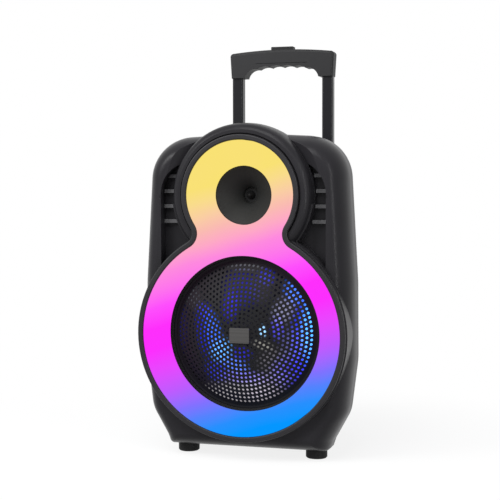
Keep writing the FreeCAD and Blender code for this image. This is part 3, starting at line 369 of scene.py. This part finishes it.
def painted_glow(tree, shader, base):
    """Paints patches of glow onto a dark finish that stand in for the LED light and reflections seen through
    the grille.
    """
    x, y, z = split_place(tree)
    behind = math_node(tree, "SUBTRACT", y, PATCH_DEPTH)
    across = math_node(tree, "ADD", x, math_node(tree, "MULTIPLY", behind, PATCH_LEAN_ACROSS))
    height = math_node(tree, "SUBTRACT", z, GRILLE_CENTRE.z)
    height = math_node(tree, "ADD", height, math_node(tree, "MULTIPLY", behind, PATCH_LEAN_UP))
    flat = add(tree, "ShaderNodeCombineXYZ")
    tree.links.new(across, flat.inputs["X"])
    tree.links.new(height, flat.inputs["Y"])
    total = None
    for x, z, wide, tall, turn, colour, strength in PAINTED_LIGHT_PATCHES:
        mapping = add(tree, "ShaderNodeMapping", vector_type="TEXTURE")
        mapping.inputs["Location"].default_value = (x / 1000, z / 1000, 0.0)
        mapping.inputs["Rotation"].default_value = (0.0, 0.0, math.radians(turn))
        mapping.inputs["Scale"].default_value = (wide / 1000, tall / 1000, 1.0)
        tree.links.new(flat.outputs[0], mapping.inputs["Vector"])
        length = add(tree, "ShaderNodeVectorMath", operation="LENGTH")
        tree.links.new(mapping.outputs[0], length.inputs[0])
        fade = add(tree, "ShaderNodeMapRange", interpolation_type="SMOOTHSTEP")
        for name, value in (("From Min", 0.35), ("From Max", 1.25), ("To Min", strength), ("To Max", 0.0)):
            fade.inputs[name].default_value = value
        tree.links.new(length.outputs["Value"], fade.inputs["Value"])
        patch = add(tree, "ShaderNodeVectorMath", operation="SCALE")
        patch.inputs[0].default_value = srgb(*colour)
        tree.links.new(fade.outputs["Result"], patch.inputs["Scale"])
        if total is None:
            total = patch.outputs[0]
        else:
            join = add(tree, "ShaderNodeVectorMath", operation="ADD")
            tree.links.new(total, join.inputs[0])
            tree.links.new(patch.outputs[0], join.inputs[1])
            total = join.outputs[0]
    tree.links.new(total, shader.inputs["Emission Color"])
    shader.inputs["Emission Strength"].default_value = looks("light").painted_glow
    shader.inputs["Base Color"].default_value = (*base, 1.0)


def painted_glow_finish(name, base, rough=0.7):
    """Dark woofer finish with painted glow that stands in for the LED light inside and its reflections."""
    made, tree, shader = start(name, rough)
    painted_glow(tree, shader, base)
    add_bump(tree, shader, noise(tree, 900.0, 2.0), 0.2, 0.0005)
    return made


# ---- grille ----
RIM_STEPS = 180
HOLE_STEPS = 12
RIM_WIDTH = 0.0043
RIM_BACK = 0.0015  # from the rim's face to the back of the sheet
LAST_RING_CLEAR = 0.4  # of a pitch, between the last ring of holes and the rim


def circle(radius, steps, x=0.0, z=0.0):
    """Points round (x, z), as many as there are steps."""
    return [(x + radius * math.cos(2 * math.pi * i / steps), z + radius * math.sin(2 * math.pi * i / steps))
            for i in range(steps)]


def hole_places(pitch, reach):
    """Rings of holes: ring k has 6k of them, so they stand in columns above and below the middle."""
    places = []
    ring = 1
    while ring * pitch + pitch * LAST_RING_CLEAR < reach:
        for i in range(6 * ring):
            angle = math.pi / 2 + 2 * math.pi * i / (6 * ring)
            places.append((ring * pitch * math.cos(angle), ring * pitch * math.sin(angle)))
        ring += 1
    return places


def domed_sheet():
    """Perforated dome with a flat rim, as one sheet."""
    sizes = looks("grille")
    reach = GRILLE_RADIUS - RIM_WIDTH
    apex = GRILLE_LOW.y
    rim = GRILLE_HIGH.y - RIM_BACK
    rise = rim - apex
    ball = (reach ** 2 + rise ** 2) / (2 * rise)
    spots = [Vector(spot) for spot in circle(reach, RIM_STEPS)]
    edges = [(i, (i + 1) % RIM_STEPS) for i in range(RIM_STEPS)]
    for x, z in hole_places(sizes.ring_pitch, reach):
        first = len(spots)
        spots += [Vector(spot) for spot in circle(sizes.hole / 2, HOLE_STEPS, x, z)]
        edges += [(first + i, first + (i + 1) % HOLE_STEPS) for i in range(HOLE_STEPS)]
    points, _, faces, origins, _, _ = geometry.delaunay_2d_cdt(spots, edges, [], 0, 1e-7)
    owner = [min(o) if o else -1 for o in origins]

    def hole_of(index):
        return (owner[index] - RIM_STEPS) // HOLE_STEPS if owner[index] >= RIM_STEPS else -1

    def depth_at(x, z):
        return apex + ball - math.sqrt(max(ball ** 2 - x * x - z * z, 0.0))

    shape = bmesh.new()
    made = [shape.verts.new((p.x + GRILLE_CENTRE.x, depth_at(p.x, p.y), p.y + GRILLE_CENTRE.z))
            for p in points]
    for face in faces:
        holes = {hole_of(i) for i in face}
        if len(holes) == 1 and -1 not in holes:
            continue
        corners = [made[i] for i in face]
        if len(set(corners)) == 3:
            shape.faces.new(corners)
    outer = [None] * RIM_STEPS
    for index, start_index in enumerate(owner):
        if 0 <= start_index < RIM_STEPS:
            outer[start_index] = made[index]
    for radius in (reach + 0.0004, GRILLE_RADIUS - 0.0002):
        ring = [shape.verts.new((x, rim, z))
                for x, z in circle(radius, RIM_STEPS, GRILLE_CENTRE.x, GRILLE_CENTRE.z)]
        for i in range(RIM_STEPS):
            j = (i + 1) % RIM_STEPS
            shape.faces.new((outer[i], outer[j], ring[j], ring[i]))
        outer = ring
    bmesh.ops.recalc_face_normals(shape, faces=shape.faces)
    if sum(f.normal.y * f.calc_area() for f in shape.faces) > 0:
        bmesh.ops.reverse_faces(shape, faces=shape.faces)
    sheet = new_object("grille_sheet", shape)
    sheet.data.shade_smooth()
    thick = sheet.modifiers.new("thickness", "SOLIDIFY")
    thick.thickness = sizes.sheet
    thick.offset = -1.0
    corners = sheet.modifiers.new("corners", "EDGE_SPLIT")
    corners.split_angle = math.radians(40)
    return sheet


# ---- marks on the rear panel ----
MARK_SHEET = 0.00015
TICKS = 11
TICK_WIDE = 0.0005
LONG_TICK = 0.0022
SHORT_TICK = 0.0014
TICK_GAP = 0.0014
KNOB_TURN = math.radians(140)
DIGIT_STEPS = (-1.65, -0.65, 0.65, 1.65)  # places of the four digits, in steps from the middle


def middle_of(node):
    """X and Z of a CAD piece's middle."""
    low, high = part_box(node)
    return (low.x + high.x) / 2, (low.z + high.z) / 2


def bar(x, z, wide, tall, turn=0.0):
    """Corners of an upright bar round (x, z), turned about its middle."""
    corners = []
    for across, up in ((-0.5, -0.5), (0.5, -0.5), (0.5, 0.5), (-0.5, 0.5)):
        dx, dz = across * wide, up * tall
        corners.append((x + dx * math.cos(turn) + dz * math.sin(turn),
                        z - dx * math.sin(turn) + dz * math.cos(turn)))
    return corners


def arrow(x, z, size, way):
    """Corners of a triangle that points along X, forwards or backwards."""
    return [(x - way * size / 2, z - size / 2), (x + way * size / 2, z), (x - way * size / 2, z + size / 2)]


def slab(name, outlines, near, far, material, body):
    """Flat marks on the back, each drawn as an outline, from one depth to another."""
    shape = bmesh.new()
    for outline in outlines:
        rings = [[shape.verts.new((x, y, z)) for x, z in outline] for y in (near, far)]
        for ring in rings:
            shape.faces.new(ring)
        count = len(outline)
        for i in range(count):
            j = (i + 1) % count
            shape.faces.new((rings[0][i], rings[0][j], rings[1][j], rings[1][i]))
    bmesh.ops.recalc_face_normals(shape, faces=shape.faces)
    marks = new_object(name, shape, material)
    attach(marks, body)


def knob_ticks(knob, reach):
    """Short ticks that fan out round a knob, the end and middle ones longer."""
    x, z = middle_of(knob)
    ticks = []
    for i in range(TICKS):
        turn = KNOB_TURN * (2 * i / (TICKS - 1) - 1)
        tall = LONG_TICK if i in (0, TICKS // 2, TICKS - 1) else SHORT_TICK
        away = reach + tall / 2
        ticks.append(bar(x + away * math.sin(turn), z + away * math.cos(turn), TICK_WIDE, tall, turn))
    return ticks


def key_signs(key):
    """Sign on one key. Seen from the back, forwards is towards -X."""
    x, z = middle_of(key)
    if key == "key_play":
        return [arrow(x + 0.0014, z, 0.0030, -1), bar(x - 0.0012, z, 0.0007, 0.0030),
                bar(x - 0.0026, z, 0.0007, 0.0030)]
    if key == "key_mode":
        return [bar(x, z + up, 0.0044, 0.0006) for up in (-0.0014, 0.0, 0.0014)]
    way = -1 if key == "key_next" else 1
    return [arrow(x - way * 0.0012, z, 0.0026, way), arrow(x + way * 0.0012, z, 0.0026, way),
            bar(x + way * 0.0030, z, 0.0006, 0.0026)]


def lit_digits():
    """Four digits with every segment lit, and two dots between the pairs."""
    low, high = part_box("display_window")
    middle, z = middle_of("display_window")
    tall = (high.z - low.z) * 0.27
    wide = tall * 0.95
    thick = tall * 0.20
    parts = [bar(middle, z + up, thick, thick) for up in (-tall * 0.45, tall * 0.45)]
    for step in DIGIT_STEPS:
        x = middle + step * wide * 1.45
        parts += [bar(x, z + up, wide - thick * 1.4, thick) for up in (-tall, 0.0, tall)]
        parts += [bar(x + side, z + up, thick, tall - thick * 1.4)
                  for side in (-wide / 2, wide / 2) for up in (-tall / 2, tall / 2)]
    return parts


# ---- operators ----
class SPEAKER_OT_cabinet(bpy.types.Operator):
    """Finish the two shells, the bezel, the slats and the frames"""

    bl_idname = "speaker.cabinet"
    bl_label = "Cabinet"

    def execute(self, context):
        sizes = looks("cabinet")
        shell = moulded("shell_plastic", sizes.shell, 0.30, sizes.grain, specular=0.1)
        dress(shell, "front_shell", "rear_shell")
        dress(moulded("bezel_plastic", scaled(sizes.shell, 0.9), 0.42, sizes.grain), "light_bezel")
        # slats in a colour much lighter than the shell, a painted highlight for the light they catch from the
        # front
        dress(moulded("slat_plastic_painted_lit", sizes.ribs, 0.45, sizes.grain), "vent_ribs")
        trim = moulded("trim_plastic", sizes.trim, 0.5, sizes.grain)
        dress(trim, "woofer_trim_ring", "bass_port", "rocker_frame", "sleeve_collars")
        return {"FINISHED"}


class SPEAKER_OT_light_ring(bpy.types.Operator):
    """Finish the lit diffuser, its board and its lamps"""

    bl_idname = "speaker.light_ring"
    bl_label = "Light ring"

    def execute(self, context):
        dress(lit_ring(), "light_diffuser")
        dress(moulded("board_laminate", (0.010, 0.060, 0.025), 0.4), "led_board", "amplifier_board")
        made, tree, shader = start("lamp_resin", 0.3)
        shader.inputs["Emission Strength"].default_value = 1.0
        tone = two_tones(tree, noise(tree, 300.0), (0.9, 0.85, 0.6), (1.0, 0.95, 0.8))
        tree.links.new(tone, shader.inputs["Emission Color"])
        tree.links.new(tone, shader.inputs["Base Color"])
        dress(made, "leds")
        return {"FINISHED"}


class SPEAKER_OT_grille(bpy.types.Operator):
    """Make the perforated steel dome and finish its blank plate"""

    bl_idname = "speaker.grille"
    bl_label = "Grille"

    def execute(self, context):
        sizes = looks("grille")
        sheet = domed_sheet()
        paint = moulded("grille_paint", sizes.paint, 0.5, 0.0006, wear=0.3, specular=0.1)
        sheet.data.materials.append(paint)
        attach(sheet, "cabinet")
        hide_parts("woofer_grille")
        dress(brushed("plate_metal", sizes.plate, 0.4, (8.0, 8.0, 900.0), 0.6), "grille_badge")
        return {"FINISHED"}


class SPEAKER_OT_woofer(bpy.types.Operator):
    """Finish the cone, the surround, the basket and the motor"""

    bl_idname = "speaker.woofer"
    bl_label = "Woofer"

    def execute(self, context):
        # the cone, surround and basket carry painted LED light and painted reflections, seen through the
        # grille
        dress(painted_glow_finish("cone_paper_painted_glow", (0.010, 0.010, 0.012)), "woofer_cone", "dust_cap")
        dress(painted_glow_finish("surround_rubber_painted_glow", (0.008, 0.008, 0.009), 0.55), "woofer_surround")
        dress(painted_glow_finish("basket_paint_painted_glow", (0.010, 0.010, 0.011), 0.5), "woofer_basket")
        dress(moulded("spider_cloth", (0.35, 0.22, 0.07), 0.9, 0.0015, 0.5), "woofer_spider")
        dress(moulded("ferrite", (0.045, 0.045, 0.048), 0.6), "woofer_magnet", "tweeter_magnet")
        dress(brushed("coil_wire", (0.55, 0.22, 0.07), 0.3, (20.0, 3000.0, 20.0)), "voice_coil")
        return {"FINISHED"}


class SPEAKER_OT_tweeter(bpy.types.Operator):
    """Finish the horn and its dome"""

    bl_idname = "speaker.tweeter"
    bl_label = "Tweeter"

    def execute(self, context):
        horn = moulded("horn_plastic", (0.0190, 0.0195, 0.0195), 0.5, 0.0009, 0.03, specular=0.1)
        dress(horn, "tweeter_horn")
        dress(moulded("tweeter_film", (0.020, 0.020, 0.021), 0.4, 0.0006, specular=0.1), "tweeter_dome")
        return {"FINISHED"}


class SPEAKER_OT_handle(bpy.types.Operator):
    """Finish the grip, the tubes and the button"""

    bl_idname = "speaker.handle"
    bl_label = "Handle"

    def execute(self, context):
        sizes = looks("handle")
        lacquer = moulded("tube_lacquer", sizes.tube, 0.24, 0.0007, 0.02, wear=0.6, spread=0.08, metal=0.3)
        dress(lacquer, "middle_tubes", "inner_tubes")
        dress(moulded("grip_plastic", sizes.grip, 0.5), "grip_front", "grip_rear")
        dress(moulded("button_plastic", scaled(sizes.grip, 0.35), 0.45), "grip_button")
        return {"FINISHED"}


TREAD_LINES = 72
TREAD_DEPTH = 0.0012


def tread(material, wheel):
    """Cuts cross lines into a tyre, all round its axle."""
    tree = material.node_tree
    shader = tree.nodes["Principled BSDF"]
    low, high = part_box(wheel)
    _, y, z = split_place(tree)
    along = math_node(tree, "SUBTRACT", y, (low.y + high.y) / 2)
    up = math_node(tree, "SUBTRACT", z, (low.z + high.z) / 2)
    turn = math_node(tree, "MULTIPLY", math_node(tree, "ARCTAN2", up, along), TREAD_LINES / 2)
    lines = math_node(tree, "ABSOLUTE", math_node(tree, "SINE", turn))
    below = shader.inputs["Normal"].links[0].from_socket
    add_bump(tree, shader, math_node(tree, "POWER", lines, 0.4), 0.8, TREAD_DEPTH, below)
    return material


class SPEAKER_OT_running_gear(bpy.types.Operator):
    """Finish the feet and the wheels"""

    bl_idname = "speaker.running_gear"
    bl_label = "Feet and wheels"

    def execute(self, context):
        sizes = looks("cabinet")
        dress(moulded("foot_rubber", sizes.rubber, 0.62, 0.0016, 0.12), "front_feet")
        tyre = moulded("tyre_rubber", scaled(sizes.rubber, 1.3), 0.68, 0.002, 0.2)
        dress(tread(tyre, "wheel_tyre_left"), "wheel_tyre_left", "wheel_tyre_right")
        dress(moulded("hub_plastic", (0.05, 0.05, 0.052), 0.45), "wheel_hub_left", "wheel_hub_right")
        return {"FINISHED"}


class SPEAKER_OT_controls(bpy.types.Operator):
    """Finish the rear panel, its knobs, keys, window and sockets"""

    bl_idname = "speaker.controls"
    bl_label = "Controls"

    def execute(self, context):
        dress(moulded("panel_plastic", (0.018, 0.018, 0.020), 0.5), "control_panel")
        dress(moulded("socket_plastic", (0.008, 0.008, 0.009), 0.4), "mic_jacks", "aux_jack", "dc_inlet")
        dress(moulded("knob_plastic", (0.03, 0.03, 0.032), 0.38), *KNOBS)
        dress(moulded("key_rubber", (0.06, 0.06, 0.064), 0.6), *KEYS)
        dress(moulded("rocker_plastic", (0.30, 0.010, 0.010), 0.3), "power_rocker")
        dress(moulded("window_acrylic", (0.006, 0.006, 0.010), 0.08, 0.003, 0.01), "display_window")
        return {"FINISHED"}


class SPEAKER_OT_marks(bpy.types.Operator):
    """Draw the ticks round the knobs, their pointers, the signs on the keys and the digits"""

    bl_idname = "speaker.marks"
    bl_label = "Marks"

    def execute(self, context):
        paint = moulded("mark_paint", (0.62, 0.62, 0.62), 0.5, 0.0005)
        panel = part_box("display_window")[0].y
        ticks = []
        for knob in KNOBS:
            low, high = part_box(knob)
            ticks += knob_ticks(knob, (high.x - low.x) / 2 + TICK_GAP)
            x, z = middle_of(knob)
            pointer = [bar(x, z + (high.z - z) * 0.6, 0.0009, (high.z - z) * 0.62)]
            slab(knob + "_pointer", pointer, high.y - 0.0007, high.y - 0.0003, paint, knob)
        slab("knob_ticks", ticks, panel, panel + MARK_SHEET, paint, "cabinet")
        for key in KEYS:
            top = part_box(key)[1].y
            slab(key + "_sign", key_signs(key), top, top + MARK_SHEET, paint, key)
        made, tree, shader = start("lit_segments", 0.4)
        tone = two_tones(tree, noise(tree, 500.0), (0.10, 0.42, 0.95), (0.16, 0.52, 1.0))
        tree.links.new(tone, shader.inputs["Emission Color"])
        shader.inputs["Base Color"].default_value = (0.01, 0.01, 0.01, 1.0)
        shader.inputs["Emission Strength"].default_value = 1.0
        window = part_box("display_window")[1].y
        slab("display_digits", lit_digits(), window, window + MARK_SHEET, made, "cabinet")
        return {"FINISHED"}


class SPEAKER_OT_inside(bpy.types.Operator):
    """Finish the hidden metal and the battery"""

    bl_idname = "speaker.inside"
    bl_label = "Inside parts"

    def execute(self, context):
        plated = brushed("zinc_plate", (0.42, 0.42, 0.44))
        dress(plated, "magnet_plates", "wheel_axle", "handle_sleeves", "lock_rods", "usb_socket",
              "battery_strap")
        dress(brushed("black_screw", (0.09, 0.09, 0.10), 0.4), "woofer_screws", "foot_screws", "board_screws",
              "shell_screws", "button_spring")
        dress(brushed("cast_alloy", (0.50, 0.50, 0.52), 0.45), "heatsink")
        dress(moulded("battery_case", (0.05, 0.05, 0.065), 0.5), "battery_pack")
        # a copy of the spring with a mesh of its own that rides with the inner stage, because a CAD piece
        # keeps its shape
        coil = bpy.data.objects.new("button_coil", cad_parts["button_spring"].data.copy())
        bpy.context.scene.collection.objects.link(coil)
        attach(coil, "inner_stage")
        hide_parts("button_spring")
        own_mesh(coil)
        return {"FINISHED"}


# name, place, what it points at, width, height, watts
LAMPS = (
    ("key_lamp", (-1.7, -2.0, 1.7), (0.0, 0.0, 0.35), 1.1, 1.1, 58.0),
    ("strip_lamp", (1.75, -1.55, 0.75), (0.0, 0.0, 0.35), 0.22, 1.8, 18.0),
    ("top_lamp", (0.0, -1.5, 2.1), (0.0, 0.0, 0.35), 1.2, 1.2, 30.0),
)
FLOOR_BOUNCE = 0.45  # share of the paper's colour that lights the speaker from below
FLOOR_HALF = 6.0
CAMERA_TURN = (87.04, 0.1, 15.96)  # degrees
SENSOR = 36.0
# how far out the paper starts to turn white and where it is white, and how white it is there
FLOOR_FADE = (("From Min", 0.22), ("From Max", 0.75), ("To Min", 0.84), ("To Max", 1.0))


def seen_directly(tree):
    """1 for what the camera sees, straight, in gloss or through glass."""
    path = add(tree, "ShaderNodeLightPath")
    total = math_node(tree, "MAXIMUM", path.outputs["Is Camera Ray"], path.outputs["Is Glossy Ray"])
    return math_node(tree, "MAXIMUM", total, path.outputs["Is Transmission Ray"])


def make_floor():
    """Pale paper that keeps the speaker's shadow and turns white further out."""
    made, tree, shader = start("floor_paper", 0.9)
    paper = looks("stage").paper
    seen = seen_directly(tree)
    tone = two_tones(tree, noise(tree, 3.0), scaled(paper, 0.99), scaled(paper, 1.01))
    level = add(tree, "ShaderNodeMix", data_type="RGBA", blend_type="MULTIPLY")
    level.inputs["Factor"].default_value = 1.0
    share = math_node(tree, "ADD", math_node(tree, "MULTIPLY", seen, 1 - FLOOR_BOUNCE), FLOOR_BOUNCE)
    tree.links.new(tone, level.inputs[6])
    tree.links.new(share, level.inputs[7])
    tree.links.new(level.outputs[2], shader.inputs["Base Color"])
    shader.inputs["Specular IOR Level"].default_value = 0.0
    white = add(tree, "ShaderNodeEmission")
    white.inputs["Color"].default_value = (1.0, 1.0, 1.0, 1.0)
    flat = add(tree, "ShaderNodeVectorMath", operation="MULTIPLY")
    flat.inputs[1].default_value = (1.0, 1.0, 0.0)
    tree.links.new(place(tree), flat.inputs[0])
    away = add(tree, "ShaderNodeVectorMath", operation="LENGTH")
    tree.links.new(flat.outputs[0], away.inputs[0])
    fade = add(tree, "ShaderNodeMapRange", interpolation_type="SMOOTHSTEP")
    for name, value in FLOOR_FADE:
        fade.inputs[name].default_value = value
    tree.links.new(away.outputs["Value"], fade.inputs["Value"])
    blend = add(tree, "ShaderNodeMixShader")
    tree.links.new(math_node(tree, "MULTIPLY", seen, fade.outputs["Result"]), blend.inputs[0])
    tree.links.new(shader.outputs[0], blend.inputs[1])
    tree.links.new(white.outputs[0], blend.inputs[2])
    tree.links.new(blend.outputs[0], tree.nodes["Material Output"].inputs["Surface"])
    shape = bmesh.new()
    bmesh.ops.create_grid(shape, x_segments=8, y_segments=8, size=FLOOR_HALF)
    new_object("floor", shape, made)


def make_sky(scene):
    """Soft grey light from all round, which is seen as white."""
    world = bpy.data.worlds.new("sky")
    scene.world = world
    world.use_nodes = True
    tree = world.node_tree
    soft = tree.nodes["Background"]
    soft.inputs["Color"].default_value = (0.62, 0.63, 0.65, 1.0)
    soft.inputs["Strength"].default_value = 0.7
    white = add(tree, "ShaderNodeBackground")
    white.inputs["Color"].default_value = (1.0, 1.0, 1.0, 1.0)
    blend = add(tree, "ShaderNodeMixShader")
    tree.links.new(seen_directly(tree), blend.inputs[0])
    tree.links.new(soft.outputs[0], blend.inputs[1])
    tree.links.new(white.outputs[0], blend.inputs[2])
    tree.links.new(blend.outputs[0], tree.nodes["World Output"].inputs["Surface"])


class SPEAKER_OT_stage(bpy.types.Operator):
    """Make the floor, the sky, the lamps and the camera"""

    bl_idname = "speaker.stage"
    bl_label = "Stage"

    def execute(self, context):
        scene = context.scene
        scene.view_settings.view_transform = "Standard"
        make_floor()
        make_sky(scene)
        for name, spot, aim, wide, tall, power in LAMPS:
            lamp = bpy.data.lights.new(name, "AREA")
            lamp.shape = "RECTANGLE"
            lamp.size = wide
            lamp.size_y = tall
            lamp.energy = power
            placed = bpy.data.objects.new(name, lamp)
            placed.location = spot
            placed.rotation_euler = (Vector(aim) - Vector(spot)).to_track_quat("-Z", "Y").to_euler()
            scene.collection.objects.link(placed)
        camera = bpy.data.cameras.new("camera")
        camera.lens = looks("stage").lens
        camera.sensor_width = SENSOR
        placed = bpy.data.objects.new("camera", camera)
        placed.location = looks("stage").camera_place
        placed.rotation_euler = [math.radians(turn) for turn in CAMERA_TURN]
        scene.collection.objects.link(placed)
        scene.camera = placed
        return {"FINISHED"}


# ---- panel and registering ----
OPERATORS = (SPEAKER_OT_cabinet, SPEAKER_OT_light_ring, SPEAKER_OT_grille, SPEAKER_OT_woofer,
             SPEAKER_OT_tweeter, SPEAKER_OT_handle, SPEAKER_OT_running_gear, SPEAKER_OT_controls,
             SPEAKER_OT_marks, SPEAKER_OT_inside, SPEAKER_OT_stage)


class SPEAKER_PT_panel(bpy.types.Panel):
    """Lists the speaker's settings and steps"""

    bl_idname = "SPEAKER_PT_panel"
    bl_label = "Party Speaker"
    bl_space_type = "VIEW_3D"
    bl_region_type = "UI"
    bl_category = "Speaker"

    def draw(self, context):
        for name, group in zip(SETTING_NAMES, SETTINGS):
            box = self.layout.box()
            settings = getattr(context.scene, name)
            for key in group.__annotations__:
                box.prop(settings, key)
        for operator in OPERATORS:
            self.layout.operator(operator.bl_idname)


def register():
    for item in SETTINGS + OPERATORS + (SPEAKER_PT_panel,):
        bpy.utils.register_class(item)
    for name, group in zip(SETTING_NAMES, SETTINGS):
        setattr(bpy.types.Scene, name, bpy.props.PointerProperty(type=group))


def unregister():
    for name in SETTING_NAMES:
        delattr(bpy.types.Scene, name)
    for item in reversed(SETTINGS + OPERATORS + (SPEAKER_PT_panel,)):
        bpy.utils.unregister_class(item)


def main():
    register()
    for operator in OPERATORS:
        group, action = operator.bl_idname.split(".")
        getattr(getattr(bpy.ops, group), action)()


if __name__ == "__main__":
    main()
